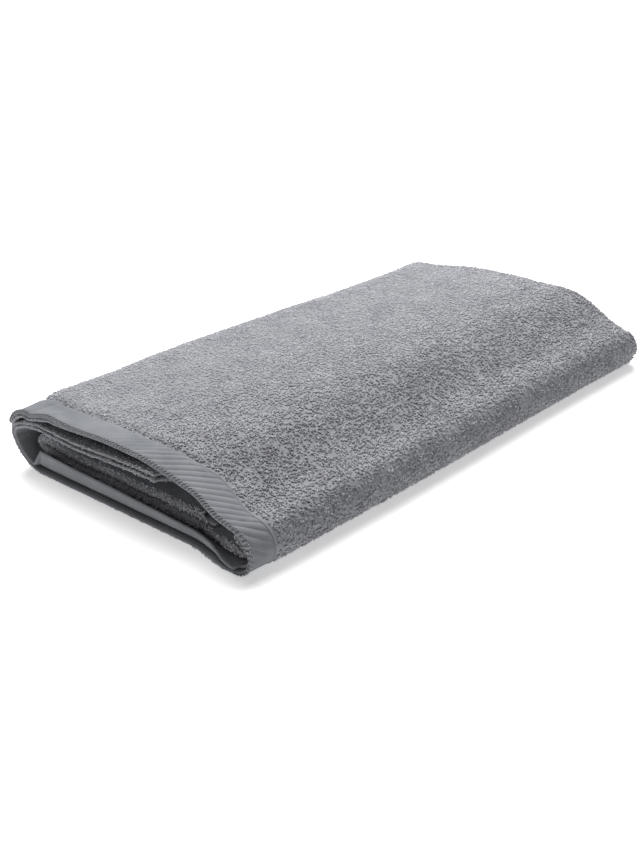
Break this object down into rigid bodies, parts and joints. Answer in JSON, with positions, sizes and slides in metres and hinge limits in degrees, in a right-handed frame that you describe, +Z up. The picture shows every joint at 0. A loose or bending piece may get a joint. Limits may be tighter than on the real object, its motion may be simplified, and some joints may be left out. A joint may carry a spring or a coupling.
{
  "type": "folded pool towel",
  "caption": "Terry pool towel folded in quarters along its length and in thirds across, with flat ribbed borders at the hems.",
  "frame": {"origin": "middle of the footprint, on the surface that the folded towel lies on", "axes": "+Z up, Y along the folded towel with the hems at the -Y end, +X towards the right wrap, where the right third comes over"},
  "size_m": [0.249, 0.492, 0.0494],
  "materials": {
    "terry": "terry loops with a flat ribbed border at the hems"
  },
  "bodies": {
    "root": {"towel": "terry"}
  },
  "joints": []
}
